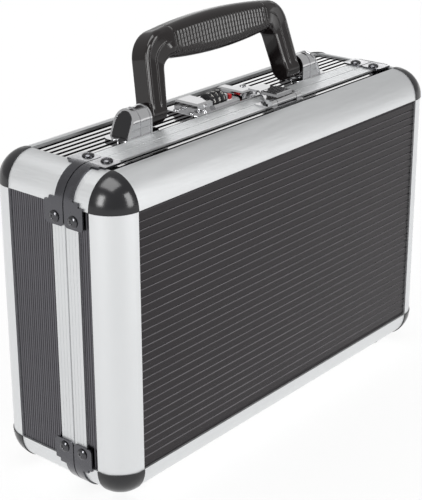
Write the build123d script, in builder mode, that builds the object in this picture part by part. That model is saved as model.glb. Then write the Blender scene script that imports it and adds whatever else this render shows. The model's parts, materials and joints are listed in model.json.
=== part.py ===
from build123d import *
from math import atan2, cos, degrees, radians, sin
import os

# An aluminium attache case, standing on its hinge side with its handle on top. Millimetres.
# X runs along the case's length, -Y is the lid's face, +Y the base's back, +Z is up.
# The origin is on the floor under the middle of the case.

# Case body
length = 330.0
depth = 107.0
height = 208.0
edge_radius = 20.0
foot_height = 4.0
parting_y = -14.0  # the lid is in front of this plane, the base behind it
parting_gap = 0.3

# Panels, and the extruded edges that hold them
panel_thick = 3.0
recess = 1.3  # how far a panel lies below the edges' outer surface
lip = 1.3
edge_skin = 1.4
web = 1.5
slot_start = 16.5  # from the case's outer plane to a panel's edge
rib_pitch = 5.3
first_rib = 23.1  # from the face of the case to the first groove of a side panel
face_ribs = 30
groove_width = 1.0
groove_depth = 0.5

# Frames that meet at the parting plane
frame_width = 10.5
frame_web = 6.0
frame_groove = 0.5
frame_groove_depth = 0.1
frame_grooves = (2.9, 5.5, 8.1)
tongue = (2.2, 3.4)
tongue_reach = 2.5

# Corner straps, corner balls and feet
strap_thick = 1.2
strap_reach = 33.0
strap_width = 15.0
strap_start = 0.4
strap_arm = 6.8
strap_cut = 16.0
strap_step = (11.5, 18.5)
strap_round = 2.5
ball_proud = 0.6
ball_wall = 4.2
ball_tongue = 6.0
foot_radius = 4.5
foot_x = 133.0
foot_y = 33.6

# Rivets
rivet_radius = 1.6
hole_radius = 1.65
rivet_in = 28.0  # strap rivets, from the case's outer plane
rivet_w = 7.6  # rivets through a frame, from the parting plane
wall_stack = recess + panel_thick + lip
tail_radius = 2.5
tail_height = 0.8

# Lining
liner_gap = 7.0
liner_thick = 4.0
liner_radius = 12.9
liner_rim = 1.0

# Hinges
hinge_x = 85.0
hinge_length = 40.0
hinge_leaf = 1.0
hinge_width = 12.5
knuckle_radius = 1.8
knuckle_drop = 1.9
knuckles = 5
hinge_pin_radius = 0.9
running_fit = 0.05
side_gap = 0.3

# Handle and its brackets
handle_lean = 14.0  # degrees back from upright
pivot_y = 5.0
pivot_rise = 9.0
leg_outer = 76.0
leg_inner = 61.0
leg_thick = 14.8
barrel_radius = 7.2
grip_half = 46.0
grip_thick = 21.0
grip_crest = 53.6
handle_pin_radius = 3.0
bracket_ends = (69.0, 105.5)
bracket_width = 16.8
flange_top = 0.5
housing_inner = 77.5
housing_foot = 98.5
housing_crown = 91.5
housing_radius = 7.7
housing_band = 0.5
band_width = 1.2
band_starts = (77.5, 86.4)
bracket_rivets_x = (72.8, 102.2)

# Lock, on the base
lock_ends = (-36.5, 42.0)
lock_sides = (-3.2, 23.2)
lock_top = 0.6
dial_x = (-11.4, -6.5, -1.6)
dial_y = 8.0
dial_rise = 2.4
dial_radius = 6.2
dial_width = 4.4
spindle_radius = 1.5
window_x = (-14.2, 1.2)
window_y = (1.4, 14.6)
slide_x = (12.0, 20.0)
slide_travel = 4.0
bolt_tip = 25.4
lock_rivet_spots = ((-33.4, 4.0), (-33.4, 16.0), (30.0, 19.0), (38.5, 19.0))

# Hasp, on the lid
hasp_mount_x = (9.0, 41.0)
hasp_pivot_y = -27.5
hasp_rise = 2.9
hasp_knuckle = 1.9
hasp_pin_radius = 0.9
hasp_under = 3.3
hasp_rivets_x = (18.0, 33.0)

# Derived places
half_sign = {"base": 1, "lid": -1}
half_depth = {"base": depth / 2 - parting_y, "lid": depth / 2 + parting_y}
x_end = length / 2
z_low = foot_height
z_high = foot_height + height
z_mid = (z_low + z_high) / 2
corners = ((1, 1), (-1, 1), (-1, -1), (1, -1))
frame_slot = frame_web + web
hinge_z = z_low - knuckle_drop
pivot_z = z_high + pivot_rise
low_corner = (Align.MIN, Align.MIN)
low_box = (Align.MIN, Align.MIN, Align.MIN)
panel_top = z_high - recess
# each side of the case: outward direction, distance from the middle, half the run along it
sides = {
    "top": (Vector(0, 0, 1), height / 2, x_end),
    "bottom": (Vector(0, 0, -1), height / 2, x_end),
    "left": (Vector(-1, 0, 0), x_end, height / 2),
    "right": (Vector(1, 0, 0), x_end, height / 2),
}

os.makedirs("parts", exist_ok=True)


def save(builder, name):
    builder.part.label = name
    export_step(builder.part, f"parts/{name}.step")


def y_at(half, inward):
    """The Y of a plane that lies inward of the parting plane, in one half."""
    return parting_y + half_sign[half] * inward


def y_face(half, inward):
    """The Y of a plane that lies inward of a half's big face."""
    return half_sign[half] * (depth / 2 - inward)


def block(x, y, z, mode=Mode.ADD):
    """A box between two values on each axis."""
    with Locations((x[0], y[0], z[0])):
        Box(x[1] - x[0], y[1] - y[0], z[1] - z[0], align=low_box, mode=mode)


def rod(x, y, z, radius, mode=Mode.ADD):
    """A cylinder along X between two values of X."""
    with BuildSketch(Plane(origin=(x[0], y, z), x_dir=(0, 1, 0), z_dir=(1, 0, 0))) as disc:
        Circle(radius)
    extrude(disc.sketch, amount=x[1] - x[0], mode=mode)


def corner_plane(half, side_x, side_z):
    """At a corner of the parting plane: X and Y run inward from the outer planes, Z into the half."""
    sign = half_sign[half]
    inward = (-side_x, 0, 0) if side_x * sign * side_z < 0 else (0, 0, -side_z)
    origin = (side_x * x_end, parting_y, z_mid + side_z * height / 2)
    return Plane(origin=origin, x_dir=inward, z_dir=(0, sign, 0))


def ball_plane(half, side_x, side_z):
    """At the middle of a corner ball, with all three axes pointing out of the case."""
    sign = half_sign[half]
    outward = (side_x, 0, 0) if side_x * sign * side_z > 0 else (0, sign, 0)
    origin = (
        side_x * (x_end - edge_radius),
        y_face(half, edge_radius),
        z_mid + side_z * (height / 2 - edge_radius),
    )
    return Plane(origin=origin, x_dir=outward, z_dir=(0, 0, side_z))


def strap_rivet_planes(half):
    planes = []
    for side_x, side_z in corners:
        y = y_at(half, rivet_w)
        flat_x = side_x * (x_end - rivet_in)
        flat_z = z_mid + side_z * (height / 2 + strap_thick)
        planes.append(Plane(origin=(flat_x, y, flat_z), z_dir=(0, 0, side_z)))
        wall_x = side_x * (x_end + strap_thick)
        wall_z = z_mid + side_z * (height / 2 - rivet_in)
        planes.append(Plane(origin=(wall_x, y, wall_z), z_dir=(side_x, 0, 0)))
    return planes


def hinge_rivet_planes(half):
    spots = [
        (side * hinge_x + place, y_at(half, rivet_w), z_low - hinge_leaf)
        for side in (-1, 1)
        for place in (-14, 0, 14)
    ]
    return [Plane(origin=spot, z_dir=(0, 0, -1)) for spot in spots]


def bracket_rivet_planes():
    return [
        Plane(origin=(side * x, pivot_y, z_high + flange_top), z_dir=(0, 0, 1))
        for side in (-1, 1)
        for x in bracket_rivets_x
    ]


def lock_rivet_planes():
    return [Plane(origin=(x, y, z_high + lock_top), z_dir=(0, 0, 1)) for x, y in lock_rivet_spots]


def hasp_rivet_planes():
    y = y_at("lid", rivet_w)
    return [Plane(origin=(x, y, z_high + 0.8), z_dir=(0, 0, 1)) for x in hasp_rivets_x]


def wall_rivet_planes(half):
    """Every rivet that passes through a half's frame or side panels."""
    planes = strap_rivet_planes(half) + hinge_rivet_planes(half)
    if half == "base":
        return planes + bracket_rivet_planes() + lock_rivet_planes()
    return planes + hasp_rivet_planes()


def drill(planes):
    with Locations(*planes):
        Hole(radius=hole_radius, depth=9)


def cut_grooves(plane, places, half_run):
    """V-grooves along the plane's X axis, at the given places along its Y axis."""
    across = Plane(origin=plane.origin, x_dir=plane.y_dir, z_dir=plane.x_dir)
    with BuildSketch(across) as section:
        with Locations(*[(place, 0) for place in places]):
            points = ((-groove_width / 2, 0), (groove_width / 2, 0), (0, -groove_depth))
            Polygon(*points, align=None)
    extrude(section.sketch, amount=half_run, both=True, mode=Mode.SUBTRACT)


# ---------------------------------------------------------------- panels


def face_panel(half):
    """The ribbed panel of a half's big face, notched where the corner balls go."""
    outer = (0, y_face(half, recess), z_mid)
    plane = Plane(origin=outer, x_dir=(1, 0, 0), z_dir=(0, half_sign[half], 0))
    wide = length - 2 * slot_start
    tall = height - 2 * slot_start
    notch = 2 * (edge_radius - slot_start + 0.2)
    with BuildPart() as panel:
        with BuildSketch(plane):
            Rectangle(wide, tall)
            with GridLocations(wide, tall, 2, 2):
                Rectangle(notch, notch, mode=Mode.SUBTRACT)
        extrude(amount=-panel_thick)
        places = [(rib - (face_ribs - 1) / 2) * rib_pitch for rib in range(face_ribs)]
        cut_grooves(plane, places, x_end)
    return panel


def side_panel(half, side):
    """A ribbed panel between a half's frame and its edge profile."""
    outward, reach, half_run = sides[side]
    near, far = y_at(half, frame_slot), y_face(half, slot_start)
    middle = Vector(0, (near + far) / 2, z_mid) + outward * (reach - recess)
    along = Vector(1, 0, 0) if outward.Z else Vector(0, 0, 1)
    plane = Plane(origin=middle, x_dir=along, z_dir=outward)
    run = 2 * (half_run - slot_start)
    notch = 2 * (edge_radius - slot_start + 0.2)
    last_rib = half_depth[half] - frame_width - 0.4
    ribs = [first_rib + rib * rib_pitch for rib in range(10)]
    local = plane.y_dir.Y
    with BuildPart() as panel:
        with BuildSketch(plane):
            Rectangle(run, abs(far - near))
            ball_end = (far - middle.Y) * local
            with Locations((-run / 2, ball_end), (run / 2, ball_end)):
                Rectangle(notch, notch, mode=Mode.SUBTRACT)
            with Locations((-run / 2, -ball_end), (run / 2, -ball_end)):
                Rectangle(notch, 2 * (frame_width - frame_slot), mode=Mode.SUBTRACT)
        extrude(amount=-panel_thick)
        places = [(y_face(half, rib) - middle.Y) * local for rib in ribs if rib < last_rib]
        cut_grooves(plane, places, half_run)
        drill(wall_rivet_planes(half))
        if half == "base" and side == "top":
            block(window_x, window_y, (z_high - 6, z_high), mode=Mode.SUBTRACT)
    return panel


# ---------------------------------------------------------------- edge profiles


def bar(u, v, wide, tall, mode=Mode.ADD):
    """A rectangle, and the same one mirrored across the section's diagonal."""
    with Locations((u, v)):
        Rectangle(wide, tall, align=low_corner, mode=mode)
    with Locations((v, u)):
        Rectangle(tall, wide, align=low_corner, mode=mode)


def edge_section(plane):
    """Quarter-round extrusion: a skin, with a slot for a panel behind each of its two lips."""
    with BuildSketch(plane) as section:
        with Locations((edge_radius, edge_radius)):
            Circle(edge_radius)
            Circle(edge_radius - edge_skin, mode=Mode.SUBTRACT)
        Rectangle(edge_radius, edge_radius, align=low_corner, mode=Mode.INTERSECT)
        bar(slot_start - web, recess, web, panel_thick + lip)
        bar(slot_start - web, recess + panel_thick, edge_radius - slot_start + web, lip)
        bar(slot_start, recess, edge_radius - slot_start, panel_thick, mode=Mode.SUBTRACT)
    return section


def edge_profile(half, side):
    """The profile along one side of a half's big face, from ball to ball."""
    outward, reach, half_run = sides[side]
    inward = outward * -1
    origin = Vector(0, y_face(half, 0), z_mid) + outward * reach
    along = inward.cross(Vector(0, -half_sign[half], 0))
    with BuildPart() as profile:
        section = edge_section(Plane(origin=origin, x_dir=inward, z_dir=along))
        extrude(section.sketch, amount=half_run - edge_radius, both=True)
    return profile


def corner_edges(half):
    """The four short profiles that turn the corners between the side panels."""
    with BuildPart() as short:
        section = edge_section(Plane.XY.offset(frame_width))
        extrude(section.sketch, amount=half_depth[half] - frame_width - edge_radius)
    with BuildPart() as edges:
        with Locations(*[corner_plane(half, *corner) for corner in corners]):
            add(short.part)
    return edges


# ---------------------------------------------------------------- frames


def ring(half, outer, inner, start, end, mode=Mode.ADD):
    """A rounded ring between two distances from the outer planes and two from the parting plane."""
    plane = Plane(
        origin=(0, y_at(half, start), z_mid), x_dir=(1, 0, 0), z_dir=(0, half_sign[half], 0)
    )
    with BuildSketch(plane) as section:
        RectangleRounded(length - 2 * outer, height - 2 * outer, edge_radius - outer)
        RectangleRounded(
            length - 2 * inner, height - 2 * inner, edge_radius - inner, mode=Mode.SUBTRACT
        )
    extrude(section.sketch, amount=end - start, mode=mode)


def frame(half):
    """The bent extrusion at a half's rim: outer flange, web and inner flange, with the panels' slot."""
    rim = parting_gap / 2
    with BuildPart() as rail:
        ring(half, 0, recess, rim, frame_width)
        ring(half, recess, wall_stack, frame_web, frame_slot)
        ring(half, recess + panel_thick, wall_stack, rim, frame_width)
        if half == "base":
            ring(half, *tongue, -tongue_reach, frame_web)
        ring(half, 0, 0.35, rim, rim + 0.4, mode=Mode.SUBTRACT)
        for place in frame_grooves:
            start = place - frame_groove / 2
            ring(half, 0, frame_groove_depth, start, start + frame_groove, mode=Mode.SUBTRACT)
        drill(wall_rivet_planes(half))
    return rail


# ---------------------------------------------------------------- corner hardware


def strap():
    """One corner strap, in the axes of corner_plane: two riveted plates joined by a bent arm."""
    outer_radius = edge_radius + strap_thick
    centre = (edge_radius, edge_radius)
    with BuildPart() as plate:
        with BuildSketch(Plane.XY.offset(strap_start)):
            with BuildLine():
                Line((strap_reach, -strap_thick), (edge_radius, -strap_thick))
                CenterArc(centre, outer_radius, 270, -90)
                Polyline(
                    (-strap_thick, edge_radius),
                    (-strap_thick, strap_reach),
                    (0, strap_reach),
                    (0, edge_radius),
                )
                CenterArc(centre, edge_radius, 180, 90)
                Polyline((edge_radius, 0), (strap_reach, 0), (strap_reach, -strap_thick))
            make_face()
        extrude(amount=strap_width)
        for start, reach in ((strap_arm, strap_cut), strap_step):
            with BuildSketch(Plane.XY.offset(strap_start + start)):
                with Locations((-edge_radius, -edge_radius)):
                    Rectangle(edge_radius + reach, edge_radius + reach, align=low_corner)
            extrude(amount=strap_width, mode=Mode.SUBTRACT)
        for free, thin in ((Axis.X, Axis.Y), (Axis.Y, Axis.X)):
            fillet(plate.edges().filter_by(thin).group_by(free)[-1], strap_round)
    return plate


def corner_straps(half):
    one = strap()
    with BuildPart() as straps:
        with Locations(*[corner_plane(half, *corner) for corner in corners]):
            add(one.part)
        drill(strap_rivet_planes(half))
    return straps


def ball():
    """One corner ball, in the axes of ball_plane: an eighth of a sphere with three tongues."""
    inner = edge_radius + ball_proud - ball_wall
    reach = 2 * edge_radius
    with BuildPart() as octant:
        Sphere(edge_radius + ball_proud, 0, 90, 90, align=None)
        Sphere(inner, 0, 90, 90, align=None, mode=Mode.SUBTRACT)
        for seam in (Plane.XY, Plane.YZ, Plane.ZX):
            with BuildSketch(seam.offset(1)):
                Circle(edge_radius - edge_skin - 0.4)
                Circle(inner + 0.2, mode=Mode.SUBTRACT)
                low = (reach * cos(radians(20)), reach * sin(radians(20)))
                high = (low[1], low[0])
                Polygon((0, 0), low, high, align=None, mode=Mode.INTERSECT)
            extrude(amount=-ball_tongue - 1)
    return octant


def ball_corners(half):
    one = ball()
    with BuildPart() as balls:
        with Locations(*[ball_plane(half, *corner) for corner in corners]):
            add(one.part)
    return balls


def feet(half):
    """Two feet under the half's bottom edge profile, shaped to its curve."""
    sign = half_sign[half]
    with BuildPart() as pads:
        with Locations((-foot_x, sign * foot_y, 0), (foot_x, sign * foot_y, 0)):
            Cone(
                foot_radius - 0.5,
                foot_radius,
                foot_height + 3,
                align=(Align.CENTER, Align.CENTER, Align.MIN),
            )
        fillet(pads.edges().group_by(Axis.Z)[0], 0.8)
        curve_y = sign * (depth / 2 - edge_radius)
        rod((-x_end, x_end), curve_y, z_low + edge_radius, edge_radius, mode=Mode.SUBTRACT)
    return pads


# ---------------------------------------------------------------- rivets


def rivet(head_radius, head_height, grip, dimple=0.0):
    """A rivet whose head sits on the XY plane and whose tail is below it."""
    crown = head_radius * 0.35
    with BuildPart() as shape:
        with BuildSketch(Plane.XZ):
            with BuildLine():
                Polyline((0, head_height - dimple), (crown * 0.8, head_height - dimple))
                Line((crown * 0.8, head_height - dimple), (crown, head_height))
                ThreePointArc(
                    (crown, head_height),
                    (head_radius * 0.78, head_height * 0.76),
                    (head_radius, head_height * 0.3),
                )
                Polyline(
                    (head_radius, head_height * 0.3),
                    (head_radius, 0),
                    (rivet_radius, 0),
                    (rivet_radius, -grip),
                    (tail_radius, -grip),
                    (tail_radius, -grip - tail_height),
                    (0, -grip - tail_height),
                    (0, head_height - dimple),
                )
            make_face()
        revolve(axis=Axis.Z)
    return shape


def rivet_group(planes, head_radius, head_height, grip, dimple=0.0):
    one = rivet(head_radius, head_height, grip, dimple)
    with BuildPart() as group:
        with Locations(*planes):
            add(one.part)
    return group


# ---------------------------------------------------------------- lining


def liner(half):
    """Padded lining: a thin tray that follows the inside of the half."""
    wide = length - 2 * liner_gap
    tall = height - 2 * liner_gap
    deep = half_depth[half] - liner_gap - liner_rim
    plane = Plane(
        origin=(0, y_at(half, liner_rim), z_mid), x_dir=(1, 0, 0), z_dir=(0, half_sign[half], 0)
    )
    face_place = 0 if half == "lid" else -1
    with BuildPart() as tray:
        with BuildSketch(plane):
            RectangleRounded(wide, tall, liner_radius)
        extrude(amount=deep)
        fillet(tray.faces().sort_by(Axis.Y)[face_place].edges(), liner_radius - 0.1)
        rim_place = -1 - face_place
        offset(amount=-liner_thick, openings=tray.faces().sort_by(Axis.Y)[rim_place])
    return tray


# ---------------------------------------------------------------- hinges


def hinge_leaves(half):
    """Two leaves with their own knuckles, cut back round the other half's knuckles."""
    pitch = hinge_length / knuckles
    own = 0 if half == "base" else 1
    bore = hinge_pin_radius + (0 if half == "base" else running_fit)
    sign = half_sign[half]
    leaf_y = sorted((y_at(half, 0.6), y_at(half, hinge_width)))
    cut_y = sorted((y_at(half, -3), y_at(half, knuckle_radius + 0.6)))
    leaf_z = (z_low - hinge_leaf, z_low)
    with BuildPart() as leaves:
        for side in (-1, 1):
            start = side * hinge_x - hinge_length / 2
            block((start, start + hinge_length), leaf_y, leaf_z)
            for index in range(knuckles):
                near = start + index * pitch + side_gap / 2
                far = near + pitch - side_gap
                if index % 2 == own:
                    rod((near, far), parting_y, hinge_z, knuckle_radius)
                else:
                    clear = (near - side_gap, far + side_gap)
                    block(clear, cut_y, (hinge_z - 4, z_low), mode=Mode.SUBTRACT)
            rod((start, start + hinge_length), parting_y, hinge_z, bore, mode=Mode.SUBTRACT)
        outer = leaves.edges().filter_by(Axis.Z).group_by(Axis.Y)[-1 if sign > 0 else 0]
        fillet(outer, 1.5)
        drill(hinge_rivet_planes(half))
    return leaves


def hinge_pins():
    with BuildPart() as pins:
        for side in (-1, 1):
            reach = hinge_length / 2 - side_gap / 2
            rod(
                (side * hinge_x - reach, side * hinge_x + reach),
                parting_y,
                hinge_z,
                hinge_pin_radius,
            )
    return pins


# ---------------------------------------------------------------- both halves

for half in ("base", "lid"):
    save(face_panel(half), f"{half}_face_panel")
    for side in sides:
        save(side_panel(half, side), f"{half}_{side}_panel")
        save(edge_profile(half, side), f"{half}_{side}_edge")
    save(corner_edges(half), f"{half}_corner_edges")
    save(frame(half), f"{half}_frame")
    save(ball_corners(half), f"{half}_ball_corners")
    save(corner_straps(half), f"{half}_corner_straps")
    strap_grip = strap_thick + wall_stack
    strap_rivets = rivet_group(strap_rivet_planes(half), 3.7, 1.7, strap_grip, dimple=0.5)
    save(strap_rivets, f"{half}_strap_rivets")
    save(liner(half), f"{half}_liner")
    save(feet(half), f"{half}_feet")
    save(hinge_leaves(half), f"{half}_hinge_leaves")
    hinge_rivets = rivet_group(hinge_rivet_planes(half), 2.3, 0.7, hinge_leaf + wall_stack)
    save(hinge_rivets, f"{half}_hinge_rivets")

save(hinge_pins(), "hinge_pins")

# ---------------------------------------------------------------- handle brackets

end_slope = housing_foot - housing_crown
end_rise = pivot_rise + housing_radius - flange_top
end_plane = Plane(
    origin=(housing_foot, pivot_y, z_high + flange_top),
    x_dir=(0, 1, 0),
    z_dir=(end_rise, 0, end_slope),
)


def arch(radius, ends):
    """A D-shaped prism on the flange, round the handle's pivot, between two values of X."""
    plane = Plane(origin=(ends[0], pivot_y, pivot_z), x_dir=(0, 1, 0), z_dir=(1, 0, 0))
    foot = pivot_rise - flange_top
    with BuildSketch(plane) as section:
        Circle(radius)
        with Locations((0, -foot / 2)):
            Rectangle(2 * radius, foot)
    extrude(section.sketch, amount=ends[1] - ends[0])


housing_ends = (housing_inner, bracket_ends[1])


def arch_slab(radius, deep):
    """The outermost slice of the D-shaped prism, as deep as given from its slanted end."""
    with BuildPart() as slab:
        arch(radius, housing_ends)
        split(bisect_by=end_plane, keep=Keep.BOTTOM)
        split(bisect_by=end_plane.offset(-deep), keep=Keep.TOP)
    return slab


end_rim = arch_slab(housing_radius + housing_band, band_width)
end_mirror = arch_slab(housing_radius - 0.9, 0.6)

with BuildPart() as bracket_right:
    arch(housing_radius, housing_ends)
    split(bisect_by=end_plane, keep=Keep.BOTTOM)
    for start in band_starts:
        arch(housing_radius + housing_band, (start, start + band_width))
    add(end_rim.part)
    add(end_mirror.part, mode=Mode.SUBTRACT)
    half_width = bracket_width / 2
    flange_y = (pivot_y - half_width, pivot_y + half_width)
    with BuildSketch(Plane.XY.offset(panel_top)):
        with Locations((sum(bracket_ends) / 2, pivot_y)):
            RectangleRounded(bracket_ends[1] - bracket_ends[0], bracket_width, 5)
    extrude(amount=recess + flange_top)
    rod((housing_inner, 92), pivot_y, pivot_z, handle_pin_radius, mode=Mode.SUBTRACT)
    drill(bracket_rivet_planes())
save(bracket_right, "handle_bracket_right")

with BuildPart() as bracket_left:
    mirror(bracket_right.part, about=Plane.YZ)
save(bracket_left, "handle_bracket_left")

with BuildPart() as handle_pins:
    rod((leg_inner + 1.5, 92), pivot_y, pivot_z, handle_pin_radius)
    rod((-92, -leg_inner - 1.5), pivot_y, pivot_z, handle_pin_radius)
save(handle_pins, "handle_pins")

bracket_grip = flange_top + recess + panel_thick
bracket_rivets = rivet_group(bracket_rivet_planes(), 2.5, 0.6, bracket_grip)
save(bracket_rivets, "bracket_rivets")

# ---------------------------------------------------------------- handle

lean = radians(handle_lean)
handle_plane = Plane(
    origin=(0, pivot_y, pivot_z), x_dir=(1, 0, 0), z_dir=(0, -cos(lean), sin(lean))
)
shoulder = (69.4, 47.4)
shoulder_radius = 14.0
grip_under = (55.3, 31.0)
under_radius = 6.0
grip_sag = 27.0
core_span = (33.0, 47.0)
core_thick = 9.0


def mirrored(point):
    return (-point[0], point[1])


def handle_outline():
    """Front view of the handle: tapering legs, round shoulders and a bar with an arched crest."""
    with BuildSketch(handle_plane) as outline:
        with BuildLine():
            Line((leg_outer, 0), shoulder)
            ThreePointArc(shoulder, (0, grip_crest), mirrored(shoulder))
            Polyline(mirrored(shoulder), (-leg_outer, 0), (-leg_inner, 0), mirrored(grip_under))
            ThreePointArc(mirrored(grip_under), (0, grip_sag), grip_under)
            Polyline(grip_under, (leg_inner, 0), (leg_outer, 0))
        make_face()
        fillet(outline.vertices().group_by(Axis.Y)[1], under_radius)
        fillet(outline.vertices().group_by(Axis.Y)[-1], shoulder_radius)
    return outline


def across_grip(thick, span, mode=Mode.ADD):
    """A straight bar along the middle of the grip."""
    centre = (span[0] + span[1]) / 2
    with BuildSketch(handle_plane) as section:
        with Locations((0, centre)):
            Rectangle(2 * grip_half, span[1] - span[0])
    extrude(section.sketch, amount=thick / 2, both=True, mode=mode)


with BuildPart() as handle_frame:
    extrude(handle_outline().sketch, amount=leg_thick / 2, both=True)
    rims = handle_frame.faces().filter_by(Axis(handle_plane.origin, handle_plane.z_dir))
    fillet(rims.edges(), 2.0)
    with BuildSketch(handle_plane):
        with Locations((0, grip_crest / 2)):
            Rectangle(2 * grip_half, 2 * grip_crest)
    extrude(amount=grip_thick, both=True, mode=Mode.SUBTRACT)
    across_grip(core_thick, core_span)
    for ends in ((-leg_outer - 1, -leg_inner), (leg_inner, leg_outer + 1)):
        rod(ends, pivot_y, pivot_z, barrel_radius)
    for ends in ((-leg_outer - 1, -leg_inner - 1), (leg_inner + 1, leg_outer + 1)):
        bore = handle_pin_radius + running_fit
        rod(ends, pivot_y, pivot_z, bore, mode=Mode.SUBTRACT)
save(handle_frame, "handle_frame")

with BuildPart() as handle_grip:
    extrude(handle_outline().sketch, amount=grip_thick / 2, both=True)
    across_grip(grip_thick, (-grip_crest, 2 * grip_crest), mode=Mode.INTERSECT)
    rims = handle_grip.faces().filter_by(Axis(handle_plane.origin, handle_plane.z_dir))
    long_edges = [edge for edge in rims.edges() if edge.length > grip_half]
    fillet(long_edges, 8.0)
    across_grip(core_thick, core_span, mode=Mode.SUBTRACT)
save(handle_grip, "handle_grip")

# ---------------------------------------------------------------- lock

bed_x = (-15.0, 10.2)
tower_x = (-30.0, -15.0)
tower_y = (1.0, 21.0)
bed_y = (-1.5, 21.0)
bed_top = z_high + 2.6
tower_top = z_high + 6.2
lock_z = z_high + lock_top
dial_z = z_high + dial_rise

with BuildPart() as lock_plate:
    wide = lock_ends[1] - lock_ends[0]
    deep = lock_sides[1] - lock_sides[0]
    with BuildSketch(Plane.XY.offset(panel_top)):
        with Locations((sum(lock_ends) / 2, sum(lock_sides) / 2)):
            RectangleRounded(wide, deep, 3)
    extrude(amount=recess + lock_top)
    chamfer(lock_plate.edges().group_by(Axis.Z)[-1], 0.3)
    block(window_x, window_y, (panel_top, lock_z), mode=Mode.SUBTRACT)
    block((14.2, 21.8), (8.3, 11.7), (panel_top, lock_z), mode=Mode.SUBTRACT)
    block((13.0, 23.0), (7.2, 12.8), (panel_top, z_high - 0.1), mode=Mode.SUBTRACT)
    drill(lock_rivet_planes())
save(lock_plate, "lock_plate")

with BuildPart() as lock_case:
    block(tower_x, tower_y, (lock_z, tower_top))
    chamfer(lock_case.edges().group_by(Axis.Z)[-1], 1.2)
    block(bed_x, bed_y, (lock_z, bed_top))
    chamfer(lock_case.edges().filter_by(Axis.X).group_by(Axis.Y)[0].group_by(Axis.Z)[-1], 1.4)
    block((1.4, 4.6), (4.6, 11.4), (bed_top, z_high + 5.4))
    chamfer(lock_case.edges().filter_by(Axis.X).group_by(Axis.Z)[-2], 0.8)
    block(window_x, window_y, (lock_z, tower_top), mode=Mode.SUBTRACT)
    rod((-18, 4.6), dial_y, dial_z, spindle_radius, mode=Mode.SUBTRACT)
    block((6.0, 9.0), (3.5, 11.5), (lock_z, bed_top), mode=Mode.SUBTRACT)
    block((5.0, 10.0), (3.5, 11.5), (lock_z, z_high + 1.6), mode=Mode.SUBTRACT)
    with Locations(Plane(origin=(-22.5, tower_y[0], z_high + 3.6), z_dir=(0, -1, 0))):
        CounterBoreHole(radius=0.8, counter_bore_radius=1.5, counter_bore_depth=0.6, depth=3)
save(lock_case, "lock_case")

with BuildPart() as dial_spindle:
    rod((-18, 4.6), dial_y, dial_z, spindle_radius)
save(dial_spindle, "dial_spindle")


def dial(centre_x):
    """A number wheel with ten finger flutes and chamfered rims."""
    half_width = dial_width / 2
    plane = Plane(
        origin=(centre_x - half_width, dial_y, dial_z), x_dir=(0, 1, 0), z_dir=(1, 0, 0)
    )
    with BuildPart() as wheel:
        rod((centre_x - half_width, centre_x + half_width), dial_y, dial_z, dial_radius)
        chamfer(wheel.edges().filter_by(GeomType.CIRCLE), 0.5)
        with BuildSketch(plane):
            with PolarLocations(dial_radius + 0.25, 10):
                Circle(0.6)
        extrude(amount=dial_width, mode=Mode.SUBTRACT)
        bore = spindle_radius + running_fit
        ends = (centre_x - half_width, centre_x + half_width)
        rod(ends, dial_y, dial_z, bore, mode=Mode.SUBTRACT)
    return wheel


for number, centre_x in enumerate(dial_x, start=1):
    save(dial(centre_x), f"dial_{number}")

with BuildPart() as reset_lever:
    block((5.2, 9.8), (4.0, 8.0), (lock_z + 0.1, z_high + 1.4))
    block((6.2, 8.8), (4.5, 7.5), (z_high + 1.4, z_high + 4.4))
    chamfer(reset_lever.edges().group_by(Axis.Z)[-1], 0.4)
save(reset_lever, "reset_lever")

with BuildPart() as lock_slide:
    block(slide_x, (-2.0, 20.0), (z_high + 0.8, z_high + 6.0))
    chamfer(lock_slide.edges().group_by(Axis.Z)[-1], 1.0)
    with BuildSketch(Plane(origin=(16.0, -2.0, z_high + 2.8), z_dir=(0, -1, 0))):
        Circle(1.6)
    extrude(amount=1.0)
    block((slide_x[1] - 0.5, bolt_tip), (-0.8, 1.7), (z_high + 1.8, z_high + 3.0))
    block((14.6, 17.4), (8.6, 11.4), (z_high - 0.3, z_high + 0.8))
    block((13.5, 18.5), (7.5, 12.5), (z_high - 1.15, z_high - 0.3))
save(lock_slide, "lock_slide")

lock_grip = lock_top + recess + panel_thick
save(rivet_group(lock_rivet_planes(), 2.2, 0.9, lock_grip), "lock_rivets")

# ---------------------------------------------------------------- hasp

hasp_z = z_high + hasp_rise
mount_top = z_high + 0.8
mount_knuckles = ((9.2, 14.6), (35.4, 40.8))

with BuildPart() as hasp_mount:
    block(hasp_mount_x, (-31.0, -14.8), (z_high, mount_top))
    block(hasp_mount_x, (-31.0, -24.7), (panel_top, z_high))
    for ends in mount_knuckles:
        rod(ends, hasp_pivot_y, hasp_z, hasp_knuckle)
        post_y = (hasp_pivot_y - hasp_knuckle, hasp_pivot_y + hasp_knuckle)
        block(ends, post_y, (mount_top, hasp_z))
    rod((9.2, 40.8), hasp_pivot_y, hasp_z, hasp_pin_radius, mode=Mode.SUBTRACT)
    drill(hasp_rivet_planes())
save(hasp_mount, "hasp_mount")

with BuildPart() as hasp_pin:
    rod((9.2, 40.8), hasp_pivot_y, hasp_z, hasp_pin_radius)
save(hasp_pin, "hasp_pin")

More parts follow.
